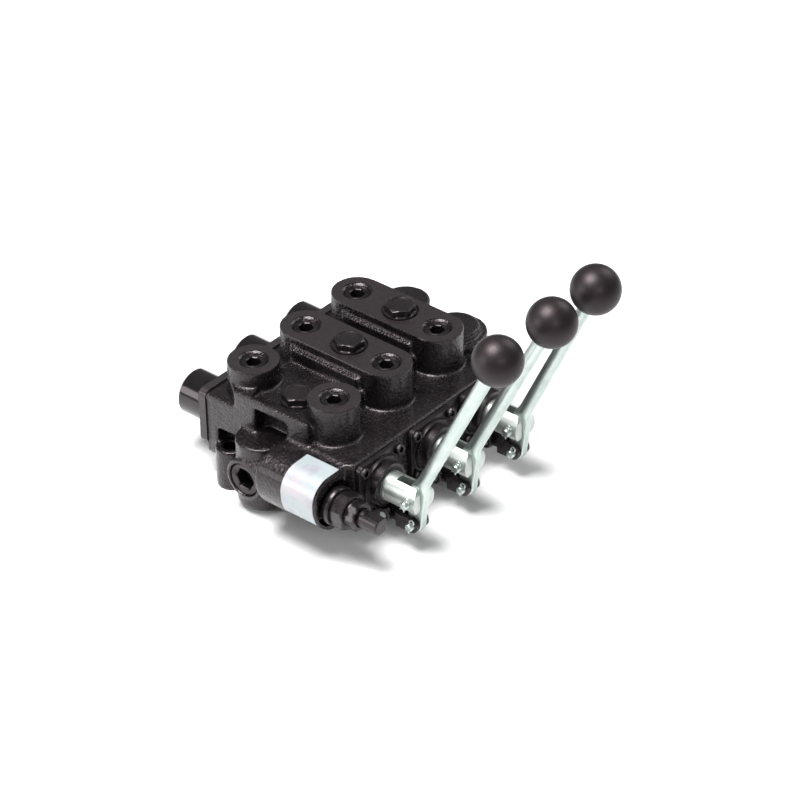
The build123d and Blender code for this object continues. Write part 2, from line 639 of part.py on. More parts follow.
# Levers: a round rod flattened into a strip at its foot, with a ball knob
for number, (x, lean, side_lean) in enumerate(zip(section_x, rod_lean, rod_side_lean), start=1):
    rod_direction = Vector(sin(radians(side_lean)), -sin(radians(lean)), cos(radians(lean))).normalized()
    rod_base = Plane(origin=(x, *rod_start), z_dir=rod_direction)
    knob_centre = rod_base.origin + rod_direction * rod_length
    with BuildPart() as lever:
        for lower, upper in ((strip_foot, strip_middle), (strip_middle, (*rod_start, rod_radius))):
            with BuildSketch(Plane.YZ.offset(x)) as strip_profile:
                for y, z, radius in (lower, upper):
                    with Locations((y, z)):
                        Circle(radius)
                make_hull()
            extrude(amount=strip_thickness / 2, both=True)
        with Locations(rod_base):
            Cylinder(rod_radius, rod_length + 8, align=(Align.CENTER, Align.CENTER, Align.MIN))
        for z in (spool_z, link_pin_z):
            bore(along_x(pin_y, z), (x - 5, x + 5, pin_radius + 0.02))
    lever.part.label = f"lever_{number}"
    export_step(lever.part, f"parts/lever_{number}.step")

    with BuildPart() as knob:
        with Locations(Plane(origin=knob_centre, z_dir=rod_direction)):
            Sphere(knob_radius)
            with Locations((0, 0, -knob_flat)):
                Cylinder(knob_radius, 8, align=(Align.CENTER, Align.CENTER, Align.MAX), mode=Mode.SUBTRACT)
                Cylinder(rod_radius + 0.02, knob_flat + 8.1,
                         align=(Align.CENTER, Align.CENTER, Align.MIN), mode=Mode.SUBTRACT)
    knob.part.label = f"knob_{number}"
    export_step(knob.part, f"parts/knob_{number}.step")

    # Pins with a head on one side and a split cotter through the other end
    fork_half = ear_inner + ear_thickness
    cotter_x = (x - spool_radius - 2.0, x - fork_half - 1.6)
    pin_sides = (("clevis_pin", spool_z, cotter_x[0], x + spool_radius + 0.3),
                 ("link_pin", link_pin_z, cotter_x[1], x + fork_half + 0.3))
    for name, z, cotter, right in pin_sides:
        with BuildPart() as pin:
            shaft(along_x(pin_y, z),
                  (cotter - 1.6, right, pin_radius), (right, right + pin_head, pin_head_radius))
            bore(along_z(cotter, pin_y), (z - 5, z + 5, cotter_wire + 0.05))
        pin.part.label = f"{name}_{number}"
        export_step(pin.part, f"parts/{name}_{number}.step")

    with BuildPart() as pin_cotters:
        for cotter, z in zip(cotter_x, (spool_z, link_pin_z)):
            shaft(along_z(cotter, pin_y), (z - 5.5, z + 4.2, cotter_wire))
            with Locations(Location((cotter, pin_y, z + 5.4), (0, 90, 0))):
                Torus(*cotter_eye)
    pin_cotters.part.label = f"pin_cotters_{number}"
    export_step(pin_cotters.part, f"parts/pin_cotters_{number}.step")

    # Fork link from the lever's lower pin back to the anchor pin
    with BuildPart() as fork_link:
        with BuildSketch(Plane.YZ.offset(x)) as ear_profile:
            with Locations((pin_y, link_pin_z)):
                Circle(ear_radius)
            with Locations(((pin_y + ear_root_y) / 2, link_pin_z)):
                Rectangle(ear_root_y - pin_y, 2 * ear_radius)
        extrude(amount=fork_half, both=True)
        block((x - ear_inner, x + ear_inner), (-130, fork_slot_y), (0, 60), Mode.SUBTRACT)
        block((x - tongue_half, x + tongue_half), (ear_root_y - 2, anchor_y),
              (link_pin_z - tongue_radius, link_pin_z + tongue_radius))
        with BuildSketch(Plane.YZ.offset(x)) as eye_profile:
            for z in (link_pin_z, link_pin_z - eye_drop):
                with Locations((anchor_y, z)):
                    Circle(tongue_radius)
            make_hull()
        extrude(amount=tongue_half, both=True)
        bore(along_x(pin_y, link_pin_z), (x - 12, x + 12, pin_radius + pin_clearance))
        # The anchor pin's slot lets the link rise as the lever swings
        with BuildSketch(Plane.YZ.offset(x)) as anchor_slot:
            with Locations((anchor_y, link_pin_z - anchor_rise / 2)):
                SlotCenterToCenter(anchor_rise, 2 * (anchor_radius + anchor_play), rotation=90)
        extrude(amount=10, both=True, mode=Mode.SUBTRACT)
    fork_link.part.label = f"fork_link_{number}"
    export_step(fork_link.part, f"parts/fork_link_{number}.step")

with BuildPart() as anchor_pins:
    for x in section_x:
        shaft(along_x(anchor_y, link_pin_z), (x - lug_outer, x + lug_outer, anchor_radius))
anchor_pins.part.label = "anchor_pins"
export_step(anchor_pins.part, "parts/anchor_pins.step")

lever_arm = spool_z - link_pin_z
swing = asin(spool_travel / lever_arm)
print("lever swing at full spool travel", round(degrees(swing), 2), "degrees")
print("link rise", round(lever_arm * (1 - cos(swing)), 2), "mm")
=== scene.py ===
import json
from math import copysign, cos, pi, radians, sin, sqrt, tan

import bmesh
import bpy
from mathutils import Matrix, Vector


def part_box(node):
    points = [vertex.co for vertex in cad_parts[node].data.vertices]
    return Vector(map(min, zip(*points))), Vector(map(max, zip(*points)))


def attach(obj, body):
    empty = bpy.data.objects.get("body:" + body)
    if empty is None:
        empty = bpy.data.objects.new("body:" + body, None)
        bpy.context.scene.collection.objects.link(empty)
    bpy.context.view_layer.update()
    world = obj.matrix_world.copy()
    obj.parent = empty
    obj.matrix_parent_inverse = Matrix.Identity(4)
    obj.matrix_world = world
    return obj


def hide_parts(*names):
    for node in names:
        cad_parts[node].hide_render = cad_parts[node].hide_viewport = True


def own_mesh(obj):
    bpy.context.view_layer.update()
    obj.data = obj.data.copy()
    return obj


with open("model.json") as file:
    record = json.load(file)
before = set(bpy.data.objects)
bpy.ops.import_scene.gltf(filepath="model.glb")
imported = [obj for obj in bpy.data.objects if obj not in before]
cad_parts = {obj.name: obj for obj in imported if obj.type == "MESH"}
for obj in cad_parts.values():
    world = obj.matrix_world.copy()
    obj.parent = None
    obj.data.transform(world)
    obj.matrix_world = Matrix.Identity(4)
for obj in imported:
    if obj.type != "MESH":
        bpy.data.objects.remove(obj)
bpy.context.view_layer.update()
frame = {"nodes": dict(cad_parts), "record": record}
nodes = frame["nodes"]
MM = 0.001
SAME_POINT = 2e-6


def corners(node):
    """Lowest and highest corner of a CAD node, in millimetres."""
    low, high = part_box(node)
    return Vector(low) / MM, Vector(high) / MM


def middle(node):
    low, high = corners(node)
    return (low + high) / 2


# Driving dimensions of the valve, in millimetres
SECTIONS = {number: middle(f"seal_retainer_{number}").x for number in (1, 2, 3)}
PAD_Z = corners("valve_body")[1].z              # machined tops of the work ports' bosses
CHECK_TOPS = {1: 76.0, 2: PAD_Z, 3: PAD_Z}      # faces under the load-check plugs
PORT_Y = 36.2                                   # work ports, in front of and behind the middle
CHECK_Y = -3.0
THREAD_R = 9.3                                  # threads of the port and load-check plugs
SPOOL_Z = middle("wiper_seals").z
PIN_Y = middle("clevis_pin_1").y
LINK_Z = middle("link_pin_1").z
PIN_R = 2.95
SCREW_X, SCREW_Z = 18.0, 16.5                   # retainer screws about each spool's axis
FRONT_Y = -73.0
REAR_Y = corners("rear_cap_1")[0].y
RETAINER_Y = -76.5                              # faces of the retainers, under their screws' heads
CAP_FLANGE = 6.0                                # thickness of the rear caps' flanges
RELIEF = (middle("relief_lock_nut").x, middle("relief_lock_nut").z)
SIDE_PORT_Z = 28.0
INLET_X, INLET_Y = -99.0, 8.5
OUTLET_X, OUTLET_Y = 107.0, -29.0
SIDE_THREAD_R = 12.4
TAP_X, TAP_Y = 27.0, -36.0                      # tapped holes under the foot
SPRING_CHAMBER_R, SPRING_CHAMBER = 14.2, 9.3    # bore behind each spool, and its depth
SIDE_X, CORE_BOTTOM, CORE_TOP = 79.0, 18.0, 65.4
VOXEL = 0.85                                    # grain of the remeshed casting
ROD_START = (-114.4, 57.0)                      # Y and Z where a lever's rod is round
ROD_R = 4.9
KNOB_R = 17.2
ROUND = 96                                      # points round a turned piece

# ---------------------------------------------------------------- mesh helpers


def place(origin, along, across=None):
    """Matrix in millimetres whose Z runs along an axis of a turned piece."""
    z = Vector(along).normalized()
    x = Vector(across) if across else z.orthogonal()
    x = (x - z * x.dot(z)).normalized()
    m = Matrix((x, z.cross(x), z)).transposed().to_4x4()
    m.translation = Vector(origin)
    return m


def add_object(name, data):
    """New object at the origin, from a mesh, a light or a camera."""
    obj = bpy.data.objects.new(name, data)
    bpy.context.scene.collection.objects.link(obj)
    return obj


def shade_smooth(bm, sharp):
    """Smooth shading except at edges sharper than the angle in degrees."""
    for face in bm.faces:
        face.smooth = True
    for edge in bm.edges:
        if len(edge.link_faces) == 2:
            edge.smooth = edge.calc_face_angle(0) < radians(sharp)


def finish_mesh(name, bm, sharp=35.0):
    """Makes an object from a bmesh in millimetres."""
    bmesh.ops.scale(bm, vec=(MM, MM, MM), verts=bm.verts)
    bmesh.ops.recalc_face_normals(bm, faces=bm.faces)
    shade_smooth(bm, sharp)
    mesh = bpy.data.meshes.new(name)
    bm.to_mesh(mesh)
    bm.free()
    return add_object(name, mesh)


def angles(count):
    return [2 * pi * i / count for i in range(count)]


def round_ring(radius, height, count=ROUND):
    """Circle of points at a height, in the piece's own axes."""
    return [(radius * cos(a), radius * sin(a), height) for a in angles(count)]


def round_rings(*steps, count=ROUND):
    """Circles from (radius, height) points, one after the other."""
    return [round_ring(radius, height, count) for radius, height in steps]


def hex_radius(across_flats, angle, corner=0.0):
    """Distance from the middle of a hexagon to its outline, its corners rounded off."""
    folded = (angle + pi / 6) % (pi / 3) - pi / 6
    flat = across_flats / 2 / cos(folded)
    return min(flat, across_flats / 2 / cos(pi / 6) - corner)


def hex_ring(across_flats, height, count=ROUND, turn=0.0, corner=0.15):
    points = []
    for angle in angles(count):
        r = hex_radius(across_flats, angle - turn, corner)
        points.append((r * cos(angle), r * sin(angle), height))
    return points


def chamfered_hex_ring(across_flats, height, circle, turn=0.0, direction=1):
    """Hexagon outline where a 30-degree cone has turned its corners down, or up with direction -1."""
    corner = 0.15
    points = []
    for angle in angles(ROUND):
        r = hex_radius(across_flats, angle - turn, corner)
        drop = max(0.0, r - circle) * tan(radians(30))
        points.append((r * cos(angle), r * sin(angle), height - direction * drop))
    return points


def add_rings(bm, matrix, rings):
    """Closed skin over a list of rings with the same number of points, flat at its two ends."""
    loops = [[bm.verts.new(matrix @ Vector(p)) for p in ring] for ring in rings]
    count = len(loops[0])
    for a, b in zip(loops, loops[1:]):
        for i in range(count):
            bm.faces.new((a[i], a[(i + 1) % count], b[(i + 1) % count], b[i]))
    bm.faces.new(loops[0][::-1])
    bm.faces.new(loops[-1])


def add_lathe(bm, matrix, profile, count=ROUND):
    """Turned form from (radius, height) points."""
    add_rings(bm, matrix, round_rings(*profile, count=count))


def add_tube(bm, path, radius, count=12):
    """Round wire along points in millimetres."""
    points = [Vector(p) for p in path]
    rings = []
    side = None
    for i, point in enumerate(points):
        before = points[max(i - 1, 0)]
        after = points[min(i + 1, len(points) - 1)]
        along = (after - before).normalized()
        if side is None:
            side = along.orthogonal().normalized()
        side = (side - along * side.dot(along)).normalized()
        other = along.cross(side)
        rings.append([point + side * radius * cos(a) + other * radius * sin(a) for a in angles(count)])
    add_rings(bm, Matrix.Identity(4), rings)


def socket_rings(across_flats, mouth, top, depth, count=ROUND, turn=0.0):
    """Rings of a hexagon socket: a round countersink, then the hexagon down to its drilled floor."""
    slope, corner, floor_drop = 0.6, 0.05, 0.6
    hexagon_top = top - (mouth - across_flats / 2) * slope
    return [
        round_ring(mouth, top, count),
        hex_ring(across_flats, hexagon_top, count, turn, corner),
        hex_ring(across_flats, top - depth, count, turn, corner),
        round_ring(across_flats * 0.2, top - depth - floor_drop, count),
    ]


def bevel(obj, width):
    """Rounds the sharp edges of a CAD node by modifiers only."""
    weld = obj.modifiers.new("weld", "WELD")
    weld.merge_threshold = SAME_POINT
    rounding = obj.modifiers.new("bevel", "BEVEL")
    rounding.width = width * MM
    rounding.segments = 2
    rounding.limit_method = "ANGLE"
    rounding.angle_limit = radians(30)
    rounding.use_clamp_overlap = True
    rounding.harden_normals = False
    for polygon in obj.data.polygons:
        polygon.use_smooth = True
    smooth = obj.modifiers.new("normals", "WEIGHTED_NORMAL")
    smooth.keep_sharp = True


def dress(obj, material, body=None, replaces=()):
    """Gives a piece its material and, for a new piece, its body and the nodes it stands for."""
    obj.data.materials.clear()
    obj.data.materials.append(material)
    if body:
        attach(obj, body)
    if replaces:
        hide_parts(*replaces)
    return obj


# ---------------------------------------------------------------- materials


class Nodes:
    """Short way to build one procedural material in object coordinates, which are metres here."""

    def __init__(self, name):
        self.material = bpy.data.materials.new(name)
        self.material.use_nodes = True
        self.tree = self.material.node_tree
        self.shader = self.tree.nodes["Principled BSDF"]
        self.coordinates = self.add("ShaderNodeTexCoord").outputs["Object"]

    def add(self, kind, **settings):
        node = self.tree.nodes.new(kind)
        for key, value in settings.items():
            setattr(node, key, value)
        return node

    def link(self, source, target):
        self.tree.links.new(source, target)

    def set(self, **values):
        for key, value in values.items():
            self.shader.inputs[key.replace("_", " ")].default_value = value

    def axis(self, letter):
        separate = self.add("ShaderNodeSeparateXYZ")
        self.link(self.coordinates, separate.inputs[0])
        return separate.outputs[letter]

    def noise(self, scale, detail=3.0, roughness=0.55, stretch=None):
        node = self.add("ShaderNodeTexNoise")
        node.inputs["Scale"].default_value = scale
        node.inputs["Detail"].default_value = detail
        node.inputs["Roughness"].default_value = roughness
        source = self.coordinates
        if stretch:
            mapping = self.add("ShaderNodeMapping")
            mapping.inputs["Scale"].default_value = stretch
            self.link(source, mapping.inputs["Vector"])
            source = mapping.outputs["Vector"]
        self.link(source, node.inputs["Vector"])
        return node.outputs["Fac"]

    def cells(self, scale, smoothness=0.4):
        node = self.add("ShaderNodeTexVoronoi", feature="SMOOTH_F1")
        node.inputs["Scale"].default_value = scale
        node.inputs["Smoothness"].default_value = smoothness
        self.link(self.coordinates, node.inputs["Vector"])
        return node.outputs["Distance"]

    def ramp(self, value, low, high, start=0.0, end=1.0):
        node = self.add("ShaderNodeMapRange")
        for name, number in (("From Min", start), ("From Max", end), ("To Min", low), ("To Max", high)):
            node.inputs[name].default_value = number
        self.link(value, node.inputs["Value"])
        return node.outputs["Result"]

    def mix(self, factor, a, b):
        node = self.add("ShaderNodeMix", data_type="RGBA")
        self.link(factor, node.inputs["Factor"])
        for socket, colour in ((node.inputs[6], a), (node.inputs[7], b)):
            if isinstance(colour, tuple):
                socket.default_value = (*colour, 1.0)
            else:
                self.link(colour, socket)
        return node.outputs[2]

    def maths(self, operation, a, b):
        node = self.add("ShaderNodeMath", operation=operation)
        for socket, value in zip(node.inputs, (a, b)):
            if isinstance(value, (int, float)):
                socket.default_value = value
            else:
                self.link(value, socket)
        return node.outputs[0]

    def bump(self, height, distance, strength=1.0, normal=None):
        node = self.add("ShaderNodeBump")
        node.inputs["Distance"].default_value = distance
        node.inputs["Strength"].default_value = strength
        self.link(height, node.inputs["Height"])
        if normal:
            self.link(normal, node.inputs["Normal"])
        return node.outputs["Normal"]


WARM = (1.0, 0.84, 0.88, 1.0)                   # tint of what the black paints reflect


def painted_casting():
    """Thick black paint over sand-cast iron: pebbled, but smoother on machined pads, whose flat tops are
    also a little lighter as painted top light.
    """
    darkest, lightest, painted_top_light = (0.0032, 0.0026, 0.0028), (0.0085, 0.0068, 0.0074), (0.017, 0.0138, 0.0146)
    m = Nodes("painted_casting")
    pebbles = m.maths("ADD", m.maths("MULTIPLY", m.cells(480, 0.35), 0.9), m.noise(900, 4, 0.6))
    # Flat tops at PAD_Z: their lighter colour is painted top light, while the weaker bump and higher
    # roughness there stand for the machining.
    machined_top_and_painted_light = m.ramp(m.axis("Z"), 0.0, 1.0, (PAD_Z - 0.35) * MM, (PAD_Z - 0.1) * MM)
    paint = m.mix(m.ramp(m.noise(55, 4), 0, 1, 0.35, 0.7), darkest, lightest)
    m.link(m.mix(machined_top_and_painted_light, paint, painted_top_light), m.shader.inputs["Base Color"])
    gloss = m.ramp(m.noise(300, 4, 0.65), 0.13, 0.38, 0.32, 0.68)
    m.link(m.maths("ADD", gloss, m.maths("MULTIPLY", machined_top_and_painted_light, 0.08)), m.shader.inputs["Roughness"])
    wide = m.bump(m.noise(110, 2), 0.0012, 0.4)
    fine = m.add("ShaderNodeBump")
    fine.inputs["Distance"].default_value = 0.0008
    m.link(m.maths("SUBTRACT", 0.5, m.maths("MULTIPLY", machined_top_and_painted_light, 0.36)), fine.inputs["Strength"])
    m.link(pebbles, fine.inputs["Height"])
    m.link(wide, fine.inputs["Normal"])
    m.link(fine.outputs["Normal"], m.shader.inputs["Normal"])
    m.set(Specular_IOR_Level=0.38, Specular_Tint=WARM, Coat_Weight=0.3, Coat_Roughness=0.1)
    return m.material


def black_paint():
    """Satin paint over smoother castings and turned parts."""
    m = Nodes("black_parts")
    patches = m.ramp(m.noise(90, 3), 0, 1, 0.3, 0.7)
    m.link(m.mix(patches, (0.0045, 0.0038, 0.004), (0.011, 0.009, 0.0095)), m.shader.inputs["Base Color"])
    m.link(m.ramp(m.noise(400, 3), 0.24, 0.4, 0.3, 0.7), m.shader.inputs["Roughness"])
    m.link(m.bump(m.noise(700.0, 3), 0.00012, 0.5), m.shader.inputs["Normal"])
    m.set(Specular_IOR_Level=0.42, Specular_Tint=WARM, Coat_Weight=0.2, Coat_Roughness=0.12)
    return m.material


def cap_paint():
    """Gloss black on the drawn cups of the rear caps, and duller on their flanges."""
    flange = (0.016, 0.0138, 0.0144)
    flange_end, blur = REAR_Y + CAP_FLANGE, 0.4
    m = Nodes("gloss_black_caps")
    cup = m.ramp(m.axis("Y"), 0.0, 1.0, (flange_end - blur) * MM, (flange_end + blur) * MM)
    cup_gloss = m.ramp(m.noise(400, 3), 0.12, 0.2, 0.3, 0.7)
    dull = m.maths("MULTIPLY", m.maths("SUBTRACT", 1.0, cup), 0.3)
    m.link(m.maths("ADD", cup_gloss, dull), m.shader.inputs["Roughness"])
    patches = m.ramp(m.noise(90, 3), 0, 1, 0.3, 0.7)
    cup_black = m.mix(patches, (0.004, 0.0036, 0.004), (0.008, 0.0072, 0.0076))
    m.link(m.mix(cup, flange, cup_black), m.shader.inputs["Base Color"])
    m.link(m.bump(m.noise(500, 3), 0.00004, 0.5), m.shader.inputs["Normal"])
    m.set(Specular_IOR_Level=0.42, Specular_Tint=WARM, Coat_Weight=0.35, Coat_Roughness=0.12)
    return m.material


def metal(name, low, high, rough, stretch=None, patch=120.0):
    """Plated or bare metal between two colours and two roughnesses, its grain drawn out by stretch."""
    m = Nodes(name)
    m.link(m.mix(m.ramp(m.noise(patch, 4), 0, 1, 0.3, 0.7), low, high), m.shader.inputs["Base Color"])
    streaks = m.noise(900.0, 3, 0.6, stretch)
    m.link(m.ramp(streaks, rough[0], rough[1], 0.3, 0.7), m.shader.inputs["Roughness"])
    m.link(m.bump(streaks, 0.00002, 0.6), m.shader.inputs["Normal"])
    m.set(Metallic=1.0)
    return m.material


def phenolic():
    """Moulded black plastic of the knobs."""
    m = Nodes("phenolic")
    colour = m.mix(m.noise(150, 4), (0.0045, 0.0032, 0.0036), (0.0095, 0.0072, 0.0078))
    m.link(colour, m.shader.inputs["Base Color"])
    m.link(m.ramp(m.noise(500, 4), 0.40, 0.48, 0.3, 0.7), m.shader.inputs["Roughness"])
    m.link(m.bump(m.noise(1300, 3), 0.00003, 0.5), m.shader.inputs["Normal"])
    m.set(Specular_IOR_Level=0.45, Specular_Tint=WARM)
    return m.material


def label_foil():
    """Blank foil label, pale blue to pink, with a little grey dirt."""
    pale_blue, pink, dirt = (0.40, 0.45, 0.465), (0.47, 0.40, 0.435), (0.30, 0.295, 0.34)
    m = Nodes("label_foil")
    tint = m.mix(m.ramp(m.noise(28, 2), 0, 1, 0.38, 0.62), pale_blue, pink)
    dusty = m.mix(m.ramp(m.noise(85, 5, 0.7), 0, 1, 0.5, 0.78), tint, dirt)
    m.link(dusty, m.shader.inputs["Base Color"])
    m.link(m.ramp(m.noise(260, 3), 0.32, 0.5, 0.3, 0.7), m.shader.inputs["Roughness"])
    m.link(m.bump(m.noise(110, 3), 0.0003, 0.3), m.shader.inputs["Normal"])
    m.set(Metallic=0.15, Coat_Weight=0.4, Coat_Roughness=0.25)
    return m.material


def rubber():
    """Matt black rubber of the wiper seals."""
    m = Nodes("seal_rubber")
    colour = m.mix(m.noise(200, 3), (0.012, 0.011, 0.011), (0.024, 0.022, 0.022))
    m.link(colour, m.shader.inputs["Base Color"])
    m.link(m.ramp(m.noise(800, 3), 0.6, 0.8, 0.3, 0.7), m.shader.inputs["Roughness"])
    m.link(m.bump(m.noise(1500, 3), 0.00005, 0.6), m.shader.inputs["Normal"])
    return m.material


CASTING = painted_casting()
PARTS = black_paint()
CAPS = cap_paint()
PLUGS = metal("oiled_steel", (0.035, 0.030, 0.032), (0.085, 0.074, 0.077), (0.3, 0.45))
SCREWS = metal("black_oxide", (0.045, 0.040, 0.042), (0.095, 0.086, 0.089), (0.26, 0.4))
ZINC = metal("zinc_plate", (0.46, 0.53, 0.505), (0.60, 0.67, 0.64), (0.27, 0.4), patch=70)
GROUND = metal("ground_steel", (0.47, 0.505, 0.485), (0.60, 0.635, 0.61), (0.38, 0.5), (1, 0.05, 1))
SPRING = metal("spring_steel", (0.22, 0.22, 0.23), (0.38, 0.38, 0.39), (0.25, 0.4))
KNOB = phenolic()
FOIL = label_foil()
RUBBER = rubber()

SLOT_MATERIALS = {
    "black_casting": CASTING,
    "black_parts": PARTS,
    "gloss_black_caps": CAPS,
    "port_plugs": PLUGS,
    "black_screws": SCREWS,
    "zinc": ZINC,
    "ground_steel": GROUND,
    "spring_steel": SPRING,
    "phenolic_black": KNOB,
    "label_foil": FOIL,
    "seal_rubber": RUBBER,
}
for entry in frame["record"]["subparts"]:
    dress(nodes[entry["node"]], SLOT_MATERIALS[entry["material_slot"]])

# ---------------------------------------------------------------- casting


def mesh_from_node(name, source):
    """A copy of a CAD node's mesh to build a detailed piece from."""
    return add_object(name, nodes[source].data.copy())


def apply_modifiers(obj):
    depsgraph = bpy.context.evaluated_depsgraph_get()
    mesh = bpy.data.meshes.new_from_object(obj.evaluated_get(depsgraph))
    obj.modifiers.clear()
    obj.data = mesh


def machined_holes():
    """Every drilled or spot-faced hole as (origin, direction, [(radius, depth)...]) below its face."""
    above = -1
    work_port = [(10.9, above), (10.9, 0.5), (10.3, 0.8), (THREAD_R, 1.7), (THREAD_R, 15)]
    check_port = [(13.2, above), (13.2, 1.4), (THREAD_R, 1.4), (THREAD_R, 12)]
    seal_recess = [(12.5, above), (12.5, 6)]
    spring_chamber = [(SPRING_CHAMBER_R, above), (SPRING_CHAMBER_R, SPRING_CHAMBER)]
    inlet_port = [(13.6, above), (SIDE_THREAD_R, 0.9), (SIDE_THREAD_R, 16)]
    outlet_port = [(13.6, above), (SIDE_THREAD_R, 0.9), (SIDE_THREAD_R, 19)]
    foot_tap = [(4.6, above), (4.0, 0.6), (4.0, 16)]
    holes = []
    for number, x in SECTIONS.items():
        for y in (-PORT_Y, PORT_Y):
            holes.append(((x, y, PAD_Z), (0, 0, -1), work_port))
        holes.append(((x, CHECK_Y, CHECK_TOPS[number]), (0, 0, -1), check_port))
        holes.append(((x, FRONT_Y, SPOOL_Z), (0, 1, 0), seal_recess))
        holes.append(((x, REAR_Y, SPOOL_Z), (0, -1, 0), spring_chamber))
    holes.append(((INLET_X, INLET_Y, SIDE_PORT_Z), (1, 0, 0), inlet_port))
    holes.append(((OUTLET_X, OUTLET_Y, SIDE_PORT_Z), (-1, 0, 0), outlet_port))
    for x in (-TAP_X, TAP_X):
        holes.append(((x, TAP_Y, 0), (0, 0, 1), foot_tap))
    return holes


def fill_holes(bm, grow=0.3, deeper=2):
    """Stops every hole with a plug a little wider and deeper than it, just below the cast side faces."""
    for origin, direction, steps in machined_holes():
        radius = max(r for r, _ in steps) + grow
        upright = direction[2] != 0
        plug = [(radius, 0.0 if upright else 0.4), (radius, steps[-1][1] + deeper)]
        add_lathe(bm, place(origin, direction), plug, 64)


def drill_holes(obj):
    """Cuts the machined holes, sharp, into the smoothed casting."""
    bm = bmesh.new()
    for origin, direction, steps in machined_holes():
        add_lathe(bm, place(origin, direction), steps, 64)
    cutter = finish_mesh("holes", bm)
    boolean = obj.modifiers.new("holes", "BOOLEAN")
    boolean.operation = "DIFFERENCE"
    boolean.solver = "EXACT"
    boolean.object = cutter
    apply_modifiers(obj)
    bpy.data.objects.remove(cutter)


def square_rear_corners(bm, spare):
    """Fills the casting's two upright rear corners out to the sharp edge that its machined rear face has."""
    width, depth, inside = 7.0, 7.0, 0.6
    centre_z, height = (CORE_BOTTOM + CORE_TOP) / 2, CORE_TOP - CORE_BOTTOM
    for side in (-1, 1):
        centre = (side * (SIDE_X - inside - width / 2), REAR_Y + spare - depth / 2, centre_z)
        size = Matrix.Diagonal((width, depth, height - 2 * inside, 1))
        bmesh.ops.create_cube(bm, size=1, matrix=Matrix.Translation(centre) @ size)


def spare_metal(bm, spare):
    """Stands the machined top, foot and rear face proud, to be cut back flat after smoothing."""
    touching = 0.1
    for vertex in bm.verts:
        if vertex.co.z > PAD_Z - touching:
            vertex.co.z += spare
        elif vertex.co.z < touching:
            vertex.co.z -= spare
        if vertex.co.y > REAR_Y - touching:
            vertex.co.y += spare


def cut_flat_faces(bm):
    """Cuts the top, the foot and the rear face flat, and closes the cuts."""
    for point, outward in (((0, 0, PAD_Z), (0, 0, 1)), ((0, 0, 0), (0, 0, -1)), ((0, REAR_Y, 0), (0, 1, 0))):
        everything = bm.verts[:] + bm.edges[:] + bm.faces[:]
        cut = bmesh.ops.bisect_plane(
            bm, geom=everything, plane_co=Vector(point) * MM, plane_no=outward, clear_outer=True
        )
        rim = [e for e in cut["geom_cut"] if isinstance(e, bmesh.types.BMEdge)]
        bmesh.ops.triangle_fill(bm, edges=rim, use_beauty=True)
    bmesh.ops.recalc_face_normals(bm, faces=bm.faces)


def mould_fillets(obj):
    """Remeshes the casting and smooths it, which rounds its inner and outer corners."""
    remesh = obj.modifiers.new("remesh", "REMESH")
    remesh.mode = "VOXEL"
    remesh.voxel_size = VOXEL * MM
    smooth = obj.modifiers.new("smooth", "SMOOTH")
    smooth.factor = 0.5
    smooth.iterations = 18
    apply_modifiers(obj)


def build_casting():
    """The casting with its mould fillets: holes filled, remeshed, smoothed, then machined again."""
    spare = 0.7
    obj = mesh_from_node("casting", "valve_body")
    bm = bmesh.new()
    bm.from_mesh(obj.data)
    bmesh.ops.remove_doubles(bm, verts=bm.verts, dist=SAME_POINT)
    bmesh.ops.scale(bm, vec=(1 / MM,) * 3, verts=bm.verts)
    fill_holes(bm)
    square_rear_corners(bm, spare - 0.1)
    spare_metal(bm, spare)
    bmesh.ops.scale(bm, vec=(MM,) * 3, verts=bm.verts)
    bmesh.ops.recalc_face_normals(bm, faces=bm.faces)
    bm.to_mesh(obj.data)
    bm.free()
    mould_fillets(obj)
    bm = bmesh.new()
    bm.from_mesh(obj.data)
    cut_flat_faces(bm)
    bm.to_mesh(obj.data)
    bm.free()
    drill_holes(obj)
    bm = bmesh.new()
    bm.from_mesh(obj.data)
    shade_smooth(bm, 38)
    bm.to_mesh(obj.data)
    bm.free()
    return dress(obj, CASTING, "valve", ["valve_body"])


build_casting()

# ---------------------------------------------------------------- plugs, nuts and screws


def build_port_plugs():
    """Flush plugs down in their threads, with a hexagon socket."""
    end_depth, thread_turns, thread_pitch = -13.0, 3, 1.1
    across_flats, mouth, face, socket_depth = 9.6, 5.6, -1.8, 6.8
    rings = [round_ring(THREAD_R - 0.02, end_depth)]
    for turn in range(thread_turns):
        low = -4.9 + turn * thread_pitch
        root_r = THREAD_R - 0.8
        rings += round_rings((THREAD_R - 0.02, low), (root_r, low + 0.45), (root_r, low + 0.6))
    rings += round_rings((THREAD_R - 0.3, -1.9), (THREAD_R - 0.5, -1.5), (THREAD_R - 1.2, -1.5))
    rings += round_rings((THREAD_R - 1.6, -2.1), (6.9, -2.1), (6.6, face))
    rings += socket_rings(across_flats, mouth, face, socket_depth, turn=0.3)
    bm = bmesh.new()
    for x in SECTIONS.values():
        for y in (-PORT_Y, PORT_Y):
            add_rings(bm, place((x, y, PAD_Z), (0, 0, 1), (1, 0.27, 0)), rings)
    return dress(finish_mesh("port_plug_set", bm), PLUGS, "valve", ["work_port_plugs"])


def build_side_plugs():
    """Larger hexagon-socket plugs in the inlet's and the outlet's side ports."""
    across_flats, mouth, face, socket_depth = 14.2, 8.6, -1.4, 9
    rings = round_rings((12.3, -14), (12.3, -2.2), (11.4, -1.2), (9.4, -1.2), (9.1, face))
    rings += socket_rings(across_flats, mouth, face, socket_depth)
    bm = bmesh.new()
    add_rings(bm, place((INLET_X, INLET_Y, SIDE_PORT_Z), (-1, 0, 0), (0, 0, 1)), rings)
    add_rings(bm, place((OUTLET_X, OUTLET_Y, SIDE_PORT_Z), (1, 0, 0), (0, 0, 1)), rings)
    return dress(finish_mesh("side_plug_set", bm), PLUGS, "valve", ["side_port_plugs"])


